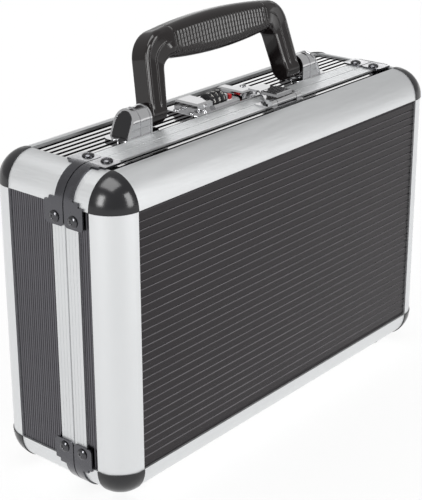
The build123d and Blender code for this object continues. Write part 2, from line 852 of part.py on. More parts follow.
with BuildPart() as hasp:
    plate_bottom = z_high + hasp_under
    plate_top = hasp_z + hasp_knuckle
    with BuildSketch(Plane.XY.offset(plate_bottom)):
        Polygon(
            (15, hasp_pivot_y),
            (35, hasp_pivot_y),
            (35, -25.2),
            (40, -25.2),
            (40, 3.5),
            (25, 3.5),
            (25, -6),
            (11, -22),
            (11, -25.2),
            (15, -25.2),
            align=None,
        )
    extrude(amount=plate_top - plate_bottom)
    with BuildSketch(Plane.XY.offset(z_high + 1.6)):
        Polygon((12, -24.5), (39, -24.5), (39, -9), (25, -9), (12, -22), align=None)
    extrude(amount=hasp_under - 1.6)
    block((22, 38.5), (-23, -9.5), (plate_top, plate_top + 1.5))
    chamfer(hasp.edges().group_by(Axis.Z)[-1], 0.6)
    for row in range(5):
        rib_y = -21.0 + row * 2.4
        block((22, 38.5), (rib_y, rib_y + 0.9), (plate_top + 0.8, plate_top + 2), Mode.SUBTRACT)
    rod((15, 35), hasp_pivot_y, hasp_z, hasp_knuckle)
    block((26.2, 27.8), (-2.0, 3.2), (z_high + 0.95, plate_bottom))
    block((26.2, 27.8), (-1.1, 2.0), (z_high + 1.55, plate_bottom), Mode.SUBTRACT)
    rod((15, 35), hasp_pivot_y, hasp_z, hasp_pin_radius + running_fit, mode=Mode.SUBTRACT)
save(hasp, "hasp")

save(rivet_group(hasp_rivet_planes(), 2.4, 0.4, 0.8 + wall_stack), "hasp_rivets")
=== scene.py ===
import json
from math import cos, hypot, pi, radians, sin, sqrt

import bmesh
import bpy
from mathutils import Matrix, Vector


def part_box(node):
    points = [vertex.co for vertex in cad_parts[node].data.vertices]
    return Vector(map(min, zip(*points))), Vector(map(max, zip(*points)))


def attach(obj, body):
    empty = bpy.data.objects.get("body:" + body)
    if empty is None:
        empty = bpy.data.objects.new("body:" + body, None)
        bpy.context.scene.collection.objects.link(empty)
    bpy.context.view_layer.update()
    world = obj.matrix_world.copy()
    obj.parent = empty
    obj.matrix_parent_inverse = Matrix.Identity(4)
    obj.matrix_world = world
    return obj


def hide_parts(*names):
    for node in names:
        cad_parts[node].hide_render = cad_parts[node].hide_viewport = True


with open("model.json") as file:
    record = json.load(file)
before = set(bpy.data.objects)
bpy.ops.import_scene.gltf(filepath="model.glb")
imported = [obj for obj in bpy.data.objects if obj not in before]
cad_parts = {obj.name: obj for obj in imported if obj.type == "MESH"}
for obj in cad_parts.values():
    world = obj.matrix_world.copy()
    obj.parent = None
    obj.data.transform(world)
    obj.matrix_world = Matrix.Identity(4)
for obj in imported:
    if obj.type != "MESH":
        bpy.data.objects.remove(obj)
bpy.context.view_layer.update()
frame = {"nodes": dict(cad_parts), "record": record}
nodes = frame["nodes"]

MM = 0.001
joint_place = {
    joint["name"]: Vector(joint["pos_m"])
    for joint in frame["record"]["behaviour"]["joints"]
    if "pos_m" in joint
}
top_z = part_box("base_frame")[1][2] / MM  # top of the case body, in mm
BODY_HALF_HEIGHT = 104
middle_z = top_z - BODY_HALF_HEIGHT

RIB_PITCH = 5.3  # between the grooves of the ribbed panels
FIRST_RIB = 30.4  # the outermost groove of each side panel, from the middle of the case's depth
FACE_RIB = middle_z + RIB_PITCH / 2  # one groove of the two large panels
FINE_LINES = 3  # in each pitch
THREAD_PITCH = 0.0011  # of the lining's cloth, in metres

# ---------------------------------------------------------------- materials


def new_material(name, colour, metallic=0.0, roughness=0.5, **sockets):
    """A principled material. Socket names are given with underscores for spaces."""
    made = bpy.data.materials.new(name)
    made.use_nodes = True
    shader = made.node_tree.nodes["Principled BSDF"]
    shader.inputs["Base Color"].default_value = (*colour, 1)
    shader.inputs["Metallic"].default_value = metallic
    shader.inputs["Roughness"].default_value = roughness
    for socket, value in sockets.items():
        shader.inputs[socket.replace("_", " ")].default_value = value
    return made


def add(material, kind, **settings):
    """Adds a shader node. Capitalised settings are input sockets, the others node properties."""
    node = material.node_tree.nodes.new("ShaderNode" + kind)
    for key, value in settings.items():
        if key[0].isupper():
            node.inputs[key.replace("_", " ")].default_value = value
        else:
            setattr(node, key, value)
    return node


def link(material, source, target):
    material.node_tree.links.new(source, target)


def shader_of(material):
    return material.node_tree.nodes["Principled BSDF"]


def noise(material, scale, detail=4.0, stretch=(1, 1, 1), roughness=0.55):
    """Noise in the object's own coordinates, in metres, stretched by the given scales."""
    place = add(material, "TexCoord")
    mapping = add(material, "Mapping", Scale=stretch)
    texture = add(material, "TexNoise", Scale=scale, Detail=detail, Roughness=roughness)
    link(material, place.outputs["Object"], mapping.inputs["Vector"])
    link(material, mapping.outputs["Vector"], texture.inputs["Vector"])
    return texture.outputs["Fac"]


def span(material, source, low, high, start=0.0, end=1.0):
    """Maps a factor from start..end to low..high."""
    node = add(material, "MapRange")
    for index, value in enumerate((start, end, low, high), start=1):
        node.inputs[index].default_value = value
    link(material, source, node.inputs["Value"])
    return node.outputs["Result"]


def tint(material, factor, dark, light):
    """Sets the base colour to a mix of two colours."""
    mix = add(material, "Mix", data_type="RGBA")
    mix.inputs[6].default_value = (*dark, 1)
    mix.inputs[7].default_value = (*light, 1)
    link(material, factor, mix.inputs[0])
    link(material, mix.outputs[2], shader_of(material).inputs["Base Color"])


def rough(material, factor, low, high, start=0.3, end=0.7):
    out = span(material, factor, low, high, start, end)
    link(material, out, shader_of(material).inputs["Roughness"])


def bump(material, height, distance, strength=1.0):
    """Adds a bump in front of any that the material already has."""
    node = add(material, "Bump", Strength=strength, Distance=distance)
    link(material, height, node.inputs["Height"])
    normal = shader_of(material).inputs["Normal"]
    if normal.links:
        link(material, normal.links[0].from_socket, node.inputs["Normal"])
    link(material, node.outputs["Normal"], normal)


def product(material, first, second, operation="MULTIPLY"):
    node = add(material, "Math", operation=operation)
    link(material, first, node.inputs[0])
    link(material, second, node.inputs[1])
    return node.outputs[0]


# Stretch of the grain for profiles along each axis, and for one that runs round the case.
GRAIN = {"x": (0.03, 1, 1), "y": (1, 0.03, 1), "z": (1, 1, 0.03), "ring": (0.006, 1, 0.006)}
GRAIN_SCALE = {"x": 1600, "y": 1600, "z": 1600, "ring": 500}


def extruded(name, colour, roughness, grain, tone=0.12, relief=1.0, **sockets):
    """Drawn and anodised aluminium: grain along the extrusion, soft blotches and a few hairlines.

    Relief scales the bumps. At 0 there are none, and only colour and gloss vary."""
    made = new_material(name, colour, 1.0, roughness, **sockets)
    lines = noise(made, GRAIN_SCALE[grain], 1.5, GRAIN[grain])
    cloud = noise(made, 18, 3)
    dark = tuple(c * (1 - tone) for c in colour)
    light = tuple(min(1, c * (1 + tone)) for c in colour)
    tint(made, cloud, dark, light)
    spread = max(relief, 0.3)
    rough(made, lines, roughness * (1 - 0.2 * spread), roughness * (1 + 0.25 * spread))
    if not relief:
        return made
    bump(made, lines, 0.00003, 0.25 * relief)
    scratch = noise(made, 700, 1, tuple(0.02 if s < 1 else 1.0 for s in GRAIN[grain]))
    bump(made, span(made, scratch, 0, 1, 0.74, 0.8), 0.00004, 0.35 * relief)
    return made


def wave_along(material, axis, first, pitch):
    """How far a point lies from the nearest line of a row, in pitches: 0 on a line, 0.5 between.

    Axis is the one that the row runs along. First is one line's place and pitch is in mm."""
    place = add(material, "TexCoord")
    split = add(material, "SeparateXYZ")
    link(material, place.outputs["Object"], split.inputs[0])
    count = add(material, "MapRange", clamp=False)
    for index, value in enumerate((first * MM, (first + pitch) * MM, 0.0, 1.0), start=1):
        count.inputs[index].default_value = value
    link(material, split.outputs[axis.upper()], count.inputs["Value"])
    distance = add(material, "Math", operation="PINGPONG")
    distance.inputs[1].default_value = 0.5
    link(material, count.outputs["Result"], distance.inputs[0])
    return distance.outputs[0]


def ribbed(name, colour, groove_shading, roughness, grain, axis, first, fade, lines=1, **sockets):
    """Black extruded sheet with painted shading in its grooves, a colour and gloss of their own,
    and fine lines between. The grooves' colour is a painted highlight where it is lighter than the
    sheet, and painted shade where it is darker.

    Fade is where the painted shading in the grooves starts and stops to give way, in pitches from
    its middle.
    Lines is the number of painted shading lines in each pitch."""
    made = extruded(name, colour, roughness, grain, **sockets)
    shader = shader_of(made)
    # Painted shading: the grooves' own colour stands in for the light and shade that falls in them.
    land = span(made, wave_along(made, axis, first, RIB_PITCH / lines), 0, 1, *fade)
    painted_shading = add(made, "Mix", data_type="RGBA")
    painted_shading.inputs[6].default_value = (*groove_shading, 1)
    link(made, shader.inputs["Base Color"].links[0].from_socket, painted_shading.inputs[7])
    link(made, land, painted_shading.inputs[0])
    link(made, painted_shading.outputs[2], shader.inputs["Base Color"])
    # The grooves also lose their coat and their reflection. This is painted shade that keeps them
    # dark at a grazing angle.
    coat = shader.inputs["Coat Weight"].default_value
    link(made, span(made, land, 0.0, coat), shader.inputs["Coat Weight"])
    link(made, land, shader.inputs["Specular Tint"])  # grooves stay dark at a grazing angle
    fine = wave_along(made, axis, first, RIB_PITCH / FINE_LINES)
    bump(made, span(made, fine, 0, 1, 0.05, 0.3), 0.00004, 0.3)
    return made


def moulded(name, colour, roughness, peel=0.00004, **sockets):
    """Moulded plastic: faint orange peel, uneven gloss and fine handling marks."""
    made = new_material(name, colour, 0.0, roughness, **sockets)
    bump(made, noise(made, 900, 3), peel, 0.6)
    smear = noise(made, 45, 5)
    rough(made, smear, roughness * 0.75, roughness * 1.5)
    tint(made, smear, tuple(c * 0.8 for c in colour), tuple(c * 1.3 for c in colour))
    marks = noise(made, 1500, 2, (1, 0.08, 0.3))
    bump(made, span(made, marks, 0, 1, 0.7, 0.78), 0.00002, 0.3)
    return made


def plated(name, colour, roughness, **sockets):
    """Plated die-cast metal: slightly wavy, with fine polishing marks."""
    made = new_material(name, colour, 1.0, roughness, **sockets)
    bump(made, noise(made, 260, 2), 0.00005, 0.4)
    bump(made, noise(made, 3000, 4, (1, 0.15, 1)), 0.00001, 0.5)
    smear = noise(made, 90, 4)
    rough(made, smear, roughness * 0.7, roughness * 1.8)
    tint(made, smear, tuple(c * 0.92 for c in colour), colour)
    return made


DARK = (0.024, 0.021, 0.023)
# Painted light: the side panels are the same dark metal as the others, given a lighter colour for
# the light that falls on the case's ends.
SIDE_PAINTED_LIGHTER = (0.115, 0.112, 0.124)
SILVER = (0.70, 0.71, 0.717)
COAT = {"Coat_Weight": 0.25, "Coat_Roughness": 0.08}
# Painted highlight: a lighter colour along the face panels' grooves, for the light that their
# upward sides catch.
FACE_GROOVE_HIGHLIGHT = (0.07, 0.067, 0.071)
# Painted shade: near black in and beside the top panels' grooves.
TOP_GROOVE_SHADE = (0.003, 0.003, 0.0035)
# Painted shade: dark fine lines on the side panels, three in each rib pitch.
SIDE_LINE_SHADE = (0.03, 0.029, 0.032)
face_metal = ribbed(
    "panel_face", DARK, FACE_GROOVE_HIGHLIGHT, 0.26, "x", "z", FACE_RIB, (0.05, 0.1), **COAT
)
side_metals = {}
top_metals = {}
for half, first in (("base", FIRST_RIB), ("lid", -FIRST_RIB)):
    side_metals[half] = ribbed(
        f"{half}_panel_side",
        SIDE_PAINTED_LIGHTER,
        SIDE_LINE_SHADE,
        0.26,
        "z",
        "y",
        first,
        (0.05, 0.3),
        FINE_LINES,
        **COAT,
    )
    top_metals[half] = ribbed(
        f"{half}_panel_top",
        DARK,
        TOP_GROOVE_SHADE,
        0.13,
        "x",
        "y",
        first,
        (0.21, 0.29),
        Coat_Weight=0.6,
    )
edge_x = extruded("edge_along_x", SILVER, 0.42, "x", 0.03, 0.3)
edge_y = extruded("edge_along_y", SILVER, 0.42, "y", 0.03, 0.3)
edge_z = extruded("edge_along_z", SILVER, 0.42, "z", 0.03, 0.3)
rail = extruded("frame_rail", (0.66, 0.67, 0.677), 0.46, "ring", 0.05, 0)
strap_metal = plated("corner_strap", (0.10, 0.10, 0.11), 0.2, Coat_Weight=0.3)
chrome = plated("lock_chrome", (0.70, 0.70, 0.71), 0.07)
# Painted reflection: chrome coloured near black, standing in for the dark surroundings that the
# brackets' end faces reflect.
chrome_painted_dark = plated("chrome_painted_dark", (0.05, 0.05, 0.053), 0.08, Coat_Weight=0.5)
zinc = plated("hinge_zinc", (0.62, 0.62, 0.60), 0.26)
rivet_metal = plated("rivet_nickel", (0.42, 0.42, 0.43), 0.16)
strap_rivet_metal = plated("strap_rivet", (0.08, 0.08, 0.086), 0.13, Coat_Weight=0.3)
ball_plastic = moulded("ball_corner", (0.006, 0.006, 0.007), 0.17)
HANDLE_BLACK = (0.008, 0.0065, 0.0065)
handle_plastic = moulded("handle_frame", HANDLE_BLACK, 0.09, 0.00001, Specular_IOR_Level=0.42)
grip_plastic = moulded("handle_grip", HANDLE_BLACK, 0.14, 0.00002, Specular_IOR_Level=0.42)
dial_plastic = moulded("dial", (0.012, 0.012, 0.013), 0.25)
lever_plastic = moulded("reset_lever", (0.36, 0.01, 0.012), 0.28)
rubber = moulded("foot_rubber", (0.022, 0.022, 0.022), 0.75, peel=0.0001)
figure_paint = moulded("figure_paint", (0.42, 0.41, 0.39), 0.45)


def woven_cloth(name, colour):
    """Black cloth over foam: crossed threads, slubs and a soft sheen."""
    made = new_material(name, colour, 0.0, 0.9, Sheen_Weight=0.35, Sheen_Roughness=0.4)
    place = add(made, "TexCoord")
    split = add(made, "SeparateXYZ")
    link(made, place.outputs["Object"], split.inputs[0])
    waves = []
    for axis in range(3):
        scaled = add(made, "Math", operation="MULTIPLY")
        scaled.inputs[1].default_value = 2 * pi / THREAD_PITCH
        link(made, split.outputs[axis], scaled.inputs[0])
        wave = add(made, "Math", operation="SINE")
        link(made, scaled.outputs[0], wave.inputs[0])
        waves.append(wave.outputs[0])
    weave = product(made, product(made, waves[0], waves[1], "ADD"), waves[2], "ADD")
    slub = noise(made, 500, 4)
    bump(made, weave, 0.00008, 0.6)
    bump(made, slub, 0.0002, 0.5)
    light = tuple(c * 2.2 for c in colour)
    tint(made, span(made, product(made, weave, slub), 0, 1, -1.2, 1.6), colour, light)
    return made


lining_cloth = woven_cloth("lining_cloth", (0.013, 0.013, 0.014))


def material_of(node):
    """The material that a carried-over CAD node gets."""
    along_z = "left" in node or "right" in node
    if node.endswith("face_panel"):
        return face_metal
    if node.endswith("_panel"):
        return (side_metals if along_z else top_metals)[node.split("_")[0]]
    if node.endswith("corner_edges"):
        return edge_y
    if node.endswith("_edge"):
        return edge_z if along_z else edge_x
    exact = {
        "base_frame": rail,
        "lid_frame": rail,
        "handle_frame": handle_plastic,
        "reset_lever": lever_plastic,
        "dial_spindle": zinc,
        "hinge_pins": zinc,
        "handle_pins": zinc,
        "hasp_pin": chrome,
    }
    if node in exact:
        return exact[node]
    endings = {
        "ball_corners": ball_plastic,
        "corner_straps": strap_metal,
        "strap_rivets": strap_rivet_metal,
        "rivets": rivet_metal,
        "hinge_leaves": zinc,
        "feet": rubber,
    }
    for ending, made in endings.items():
        if node.endswith(ending):
            return made
    return dial_plastic if node.startswith("dial_") else chrome


for name, node in nodes.items():
    node.data.materials.clear()
    node.data.materials.append(material_of(name))

# ---------------------------------------------------------------- mesh helpers

LATHE_STEPS = 40

def from_mesh(name, mesh, material, body):
    """Links a mesh as a piece that rides on a CAD body."""
    piece = bpy.data.objects.new(name, mesh)
    bpy.context.scene.collection.objects.link(piece)
    mesh.materials.clear()
    mesh.materials.append(material)
    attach(piece, body)
    return piece


def from_grid(name, rows):
    """A closed mesh from rows of points. Each row is a loop, and the first and last are capped."""
    points = [p for row in rows for p in row]
    count = len(rows[0])
    faces = []
    for r in range(len(rows) - 1):
        for c in range(count):
            after = (c + 1) % count
            start = r * count
            faces.append((start + c, start + after, start + count + after, start + count + c))
    faces.append(tuple(range(count - 1, -1, -1)))
    faces.append(tuple(range((len(rows) - 1) * count, len(rows) * count)))
    mesh = bpy.data.meshes.new(name)
    mesh.from_pydata([tuple(p) for p in points], [], faces)
    shaped = bmesh.new()
    shaped.from_mesh(mesh)
    bmesh.ops.recalc_face_normals(shaped, faces=shaped.faces)
    shaped.to_mesh(mesh)
    shaped.free()
    mesh.shade_smooth()
    return mesh


def joined_mesh(name, meshes, smoothed=True):
    """One mesh made of several, which are removed."""
    gathered = bmesh.new()
    for mesh in meshes:
        gathered.from_mesh(mesh)
        bpy.data.meshes.remove(mesh)
    made = bpy.data.meshes.new(name)
    gathered.to_mesh(made)
    gathered.free()
    if smoothed:
        made.shade_smooth()
    return made


def lathe(name, profile, origin, axis):
    """A turned shape: profile is (radius, height) pairs along the axis from the origin, in mm."""
    turn = Vector(axis).to_track_quat("Z", "Y").to_matrix()
    rows = []
    for radius, height in profile:
        ring = []
        for step in range(LATHE_STEPS):
            angle = 2 * pi * step / LATHE_STEPS
            local = Vector((radius * cos(angle), radius * sin(angle), height)) * MM
            ring.append(Vector(origin) + turn @ local)
        rows.append(ring)
    mesh = from_grid(name, rows)
    mesh.set_sharp_from_angle(angle=radians(35))
    return mesh


# ---------------------------------------------------------------- handle

LEAN = radians(14)
PIVOT = joint_place["handle_swing"]
GRIP_HALF = 46.0  # half the grip's length
GRIP_THICK, GRIP_CORNER = 20.8, 7.6
LEG_THICK, LEG_CORNER = 14.6, 2.0
BARREL = 7.2  # radius of the leg's round end
FAN = (47.0, 24.0)  # the shoulder's sections turn about this point
FAN_STEPS = 60
LEG_STEPS = 40
BEADS = (2.7, 9.3)  # raised lines along the legs, from the outer edge
BEAD_DEPTH = 0.6  # how far the legs' faces are sunk beside the beads
RIB_SPACING = 2.95  # of the grip's wavy ribs
SWAY, SWAY_LENGTH = 0.14, 3.2  # how far the ribs wave, and over what length
SIDE_STEPS, CORNER_STEPS, FACE_STEPS = 8, 14, 66  # points along each stretch of a section
GRIP_COLUMNS = 330
GRIP_SEAM = 0.4  # how far the grip's ends turn in at the seam with the shoulders


def on_handle(x, h, t):
    """A point of the leaning handle: along X, up from the pivot, and out of its front, in mm."""
    rise = Vector((0, sin(LEAN), cos(LEAN)))
    front = Vector((0, -cos(LEAN), sin(LEAN)))
    return PIVOT + (Vector((x, 0, 0)) + rise * h + front * t) * MM


def crest(x):
    """The handle's top edge, up from the pivot."""
    return 53.5 - 6.1 * (x / 69.4) ** 2


def underside(x):
    """The top edge of the handle's opening."""
    return 27.0 + 4.0 * (x / 55.3) ** 2


def leg_outside(h):
    """A leg's outer edge, out from the middle."""
    return 76.0 - 6.6 * h / 47.4


def leg_inside(h):
    """A leg's inner edge."""
    return 61.0 - 5.7 * h / 31.0


def smooth(value):
    """Eases from 0 to 1 as the value goes from 0 to 1, and stays there beyond."""
    value = max(0.0, min(1.0, value))
    return value * value * (3 - 2 * value)


def rounded(a, b, radius):
    """Distance inside a rounded corner of two edges, given the distance to each edge."""
    if a < radius and b < radius:
        return radius - hypot(radius - a, radius - b)
    return min(a, b)


def fan_point(angle, inside, near, far):
    """Where a ray from the shoulder's fan point leaves a region, between two distances."""
    for _ in range(30):
        middle = (near + far) / 2
        x, h = FAN[0] + middle * cos(angle), FAN[1] + middle * sin(angle)
        if inside(x, h) > 0:
            near = middle
        else:
            far = middle
    return x, h


def in_opening(x, h):
    """Positive in the handle's opening."""
    return rounded(leg_inside(h) - x, underside(x) - h, 6.0)


def in_outline(x, h):
    """Positive within the handle's outer edge."""
    return rounded(leg_outside(h) - x, crest(x) - h, 14.0)


def loop_of(wide, thick, corner):
    """A rounded rectangle as (across, out, normal across, normal out), centred on the origin."""
    flat_a, flat_t = wide - 2 * corner, thick - 2 * corner
    signs = ((1, 1), (-1, 1), (-1, -1), (1, -1))
    sides = ((flat_t, wide / 2, SIDE_STEPS), (flat_a, thick / 2, FACE_STEPS))
    points = []
    for quarter in range(4):
        turn = quarter * pi / 2
        along, reach, steps = sides[quarter % 2]
        for step in range(steps):
            run = along * (step / steps - 0.5)
            normal = (cos(turn), sin(turn))
            points.append(
                (reach * normal[0] - run * normal[1], reach * normal[1] + run * normal[0], *normal)
            )
        for step in range(CORNER_STEPS):
            angle = turn + step / CORNER_STEPS * pi / 2
            normal = (cos(angle), sin(angle))
            sign = signs[quarter]
            points.append(
                (
                    sign[0] * flat_a / 2 + corner * normal[0],
                    sign[1] * flat_t / 2 + corner * normal[1],
                    *normal,
                )
            )
    return points


def section_row(inner, outer, thick, corner, side, carve):
    """One section of the handle between an inner and an outer point, carved by a depth function."""
    wide = hypot(outer[0] - inner[0], outer[1] - inner[1])
    across = ((outer[0] - inner[0]) / wide, (outer[1] - inner[1]) / wide)
    middle = ((outer[0] + inner[0]) / 2, (outer[1] + inner[1]) / 2)
    row = []
    for a, t, n_a, n_t in loop_of(wide, thick, corner):
        deep = carve(wide / 2 - a, n_t)
        a -= n_a * deep
        t -= n_t * deep
        row.append(on_handle(side * (middle[0] + a * across[0]), middle[1] + a * across[1], t))
    return row


def bead(distance, centre, half_width=0.95):
    """A round bead's height: 1 on its centre line, 0 beyond its half width."""
    offset = abs(distance - centre) / half_width
    return cos(min(offset, 1.0) * pi / 2) ** 2


def leg_carver(strength):
    """Faces sunk between raised beads that run along the leg."""

    def carve(from_outer, n_t):
        raised = max(bead(from_outer, centre) for centre in BEADS)
        return BEAD_DEPTH * strength * smooth(abs(n_t) * 1.6 - 0.4) * (1 - raised)

    return carve


def shell(side):
    """Sections from the bottom of one leg, round the shoulder, to the seam with the grip.

    Each has its inner and outer point, thickness, corner radius and the strength of the beads."""
    sections = []
    for step in range(9):
        h = -BARREL * cos(radians(8 + 82 * step / 8))
        thick = 2 * sqrt(BARREL**2 - h**2)
        corner = min(LEG_CORNER, thick / 2 - 0.05)
        thick = thick * LEG_THICK / (2 * BARREL)
        sections.append(((leg_inside(h), h), (leg_outside(h), h), thick, corner, 0))
    for step in range(1, LEG_STEPS + 1):
        h = FAN[1] * step / LEG_STEPS
        fade = smooth(h / 9)
        sections.append(((leg_inside(h), h), (leg_outside(h), h), LEG_THICK, LEG_CORNER, fade))
    for step in range(1, FAN_STEPS + 1):
        angle = radians(90 * step / FAN_STEPS)
        inner = fan_point(angle, in_opening, 0, 30)
        outer = fan_point(angle, in_outline, 12, 45)
        swell = smooth((step - 12) / 46)
        thick = LEG_THICK + (GRIP_THICK - LEG_THICK) * swell
        corner = LEG_CORNER + (GRIP_CORNER - LEG_CORNER) * swell**1.5
        sections.append((inner, outer, thick, corner, 1 - smooth((step - 40) / 18)))
    for x, sink in ((GRIP_HALF + GRIP_SEAM, 0.0), (GRIP_HALF, GRIP_SEAM)):
        inner, outer = (x, underside(x) + sink), (x, crest(x) - sink)
        sections.append((inner, outer, GRIP_THICK - 2 * sink, GRIP_CORNER - sink, 0))
    return [
        section_row(inner, outer, thick, corner, side, leg_carver(fade))
        for inner, outer, thick, corner, fade in sections
    ]


body_mesh = joined_mesh("handle_body", [from_grid("leg", shell(side)) for side in (-1, 1)])
body = from_mesh("handle_body", body_mesh, handle_plastic, "handle")
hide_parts("handle_frame")


def rib_carver(x):
    """The grip's face: wavy ribs between smooth bands at the crest, the underside and the ends."""
    tall = crest(x) - underside(x)
    ends = smooth((44.4 - abs(x)) / 0.8)

    def carve(from_crest, n_t):
        face = smooth((abs(n_t) - 0.3) / 0.3)
        band = smooth((from_crest / tall - 0.21) / 0.04) * smooth((0.92 - from_crest / tall) / 0.05)
        sway = SWAY * sin(2 * pi * from_crest / SWAY_LENGTH)
        wave = 0.5 + 0.5 * cos(2 * pi * (x + sway) / RIB_SPACING)
        return face * band * ends * (0.25 + 0.5 * (1 - wave))

    return carve


grip_rows = []
for column in range(GRIP_COLUMNS + 1):
    x = -GRIP_HALF + 2 * GRIP_HALF * column / GRIP_COLUMNS
    sink = GRIP_SEAM * (1 - smooth((GRIP_HALF - abs(x)) / 0.5))
    inner, outer = (x, underside(x) + sink), (x, crest(x) - sink)
    thick, corner = GRIP_THICK - 2 * sink, GRIP_CORNER - sink
    grip_rows.append(section_row(inner, outer, thick, corner, 1, rib_carver(x)))
grip = from_mesh(
    "grip_cover", from_grid("grip_cover", grip_rows), grip_plastic, "handle"
)
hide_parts("handle_grip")

# ---------------------------------------------------------------- handle brackets

END_FOOT = Vector((98.5, 0, top_z + 0.5))  # the slanted end of the right bracket, in mm
END_CROWN = Vector((91.5, 0, top_z + 16.7))
FACE_RADIUS = 6.7
ARCH_STEPS = 24
# Inset and lift of each ring of the plate, from its edge to its slightly crowned middle.
FACE_RINGS = ((0.0, -0.55), (0.0, -0.2), (0.12, -0.06), (0.35, 0.0), (1.2, 0.06), (3.0, 0.1))


def bracket_face(side):
    """A glossy plate in the recess of a bracket's slanted end, its chrome coloured near black: a
    painted dark reflection.
    """
    up = (END_CROWN - END_FOOT).normalized()
    out = up.cross(Vector((0, 1, 0)))
    out = out if out.x > 0 else -out
    radius = FACE_RADIUS
    level = (PIVOT.z / MM - END_FOOT.z) / up.z
    outline = []
    for step in range(ARCH_STEPS + 1):
        angle = pi * step / ARCH_STEPS
        outline.append((radius * cos(angle), level + radius * sin(angle) / up.z))
    outline += [(-radius, 0.8), (-radius + 0.7, 0.15), (radius - 0.7, 0.15), (radius, 0.8)]
    rows = []
    for inset, lift in FACE_RINGS:
        ring = []
        for y, rise in outline:
            scale = 1 - inset / radius
            along = level * 0.5 + (rise - level * 0.5) * scale
            place = END_FOOT + up * along + out * (lift - 0.05)
            ring.append(Vector((side * place.x, PIVOT.y / MM + y * scale, place.z)) * MM)
        rows.append(ring)
    return from_grid("bracket_face", rows)


for side, word in ((-1, "left"), (1, "right")):
    plate = bracket_face(side)
    from_mesh(f"bracket_face_{word}", plate, chrome_painted_dark, "base")

# ---------------------------------------------------------------- lock details

DIAL_RADIUS = 6.2
FIGURES = 10  # on each wheel
FIGURE_SIZE, FIGURE_THICK, FIGURE_SUNK = 3.6, 0.06, 0.03


def figure_mesh(number):
    """One figure as a thin flat mesh centred on the origin."""
    text = bpy.data.curves.new("figure", "FONT")
    text.body = str(number)
    text.size = FIGURE_SIZE * MM
    text.extrude = FIGURE_THICK * MM
    text.align_x = "CENTER"
    text.align_y = "CENTER"
    holder = bpy.data.objects.new("figure", text)
    bpy.context.scene.collection.objects.link(holder)
    bpy.context.view_layer.update()
    mesh = bpy.data.meshes.new_from_object(holder)
    bpy.data.objects.remove(holder)
    return mesh


for index in (1, 2, 3):
    figures = []
    for number in range(FIGURES):
        mesh = figure_mesh((number + 3 * index) % FIGURES)
        angle = radians(90 + 360 / FIGURES * number)
        out = Vector((0, cos(angle), sin(angle)))
        right = Vector((1, 0, 0))
        up = out.cross(right)
        place = joint_place[f"dial_{index}_turn"] + out * (DIAL_RADIUS - FIGURE_SUNK) * MM
        turn = Matrix((right, up, out)).transposed().to_4x4()
        mesh.transform(Matrix.Translation(place) @ turn)
        figures.append(mesh)
    name = f"dial_figures_{index}"
    from_mesh(name, joined_mesh(name, figures, False), figure_paint, f"dial_{index}")


def screw(name, origin, axis, radius, body):
    """A slotted dome-headed screw. The radius is its head's, in mm."""
    profile = [(radius * 0.5, -1.2), (radius * 0.5, -0.1), (radius, 0.0), (radius, 0.2)]
    for step in range(1, 7):
        angle = radians(15 * step)
        profile.append((radius * cos(angle), 0.2 + radius * 0.35 * sin(angle)))
    profile[-1] = (0.02, profile[-1][1])
    mesh = lathe(name, profile, origin, axis)
    piece = from_mesh(name, mesh, chrome, body)
    cutter_mesh = bpy.data.meshes.new("cutter")
    cube = bmesh.new()
    bmesh.ops.create_cube(cube, size=1)
    turn = Vector(axis).to_track_quat("Z", "Y").to_matrix().to_4x4()
    size = Matrix.Diagonal((radius * 0.26 * MM, radius * 3 * MM, radius * 0.6 * MM, 1))
    lift = Matrix.Translation((0, 0, (0.2 + radius * 0.45) * MM))
    cube.transform(Matrix.Translation(origin) @ turn @ Matrix.Rotation(0.6, 4, "Z") @ lift @ size)
    cube.to_mesh(cutter_mesh)
    cube.free()
    cutter = bpy.data.objects.new("cutter", cutter_mesh)
    bpy.context.scene.collection.objects.link(cutter)
    cut = piece.modifiers.new("slot", "BOOLEAN")
    cut.operation = "DIFFERENCE"
    cut.object = cutter
    cut.solver = "EXACT"
    bpy.context.view_layer.update()
    evaluated = piece.evaluated_get(bpy.context.evaluated_depsgraph_get())
    slotted = bpy.data.meshes.new_from_object(evaluated)
    piece.modifiers.clear()
    piece.data = slotted
    bpy.data.objects.remove(cutter)
    return piece


screw("lock_screw", Vector((-22.5, 1.55, top_z + 3.6)) * MM, (0, -1, 0), 1.4, "base")

button = [(1.3, 0), (1.3, 1.1), (1.1, 1.35), (0.6, 1.5), (0.02, 1.52)]
button_mesh = lathe("lock_button", button, Vector((-25, -1.2, top_z + 0.55)) * MM, (0, 0, 1))
from_mesh("lock_button", button_mesh, chrome, "base")

# ---------------------------------------------------------------- lining

VOXEL = 0.0018  # of the remesh, in metres
QUILT_PITCH, QUILT_HEIGHT = 34.0, 1.3
TRAY_DEPTH = 42.5  # the tray's inner faces, from the parting plane and the middle of the case
TRAY_HALF_LENGTH, TRAY_HALF_HEIGHT = 154, 93
FACE_REACH = 1.2  # a vertex this near to one of them lies on it
QUILT_FADE = 12  # the quilting flattens this near to a corner


def quilt(a, b):
    """Height of a diamond-quilted puff, in mm: zero along the seams."""
    first = abs(sin(pi * (a + b) / QUILT_PITCH))
    second = abs(sin(pi * (a - b) / QUILT_PITCH))
    return QUILT_HEIGHT * (first * second) ** 0.45


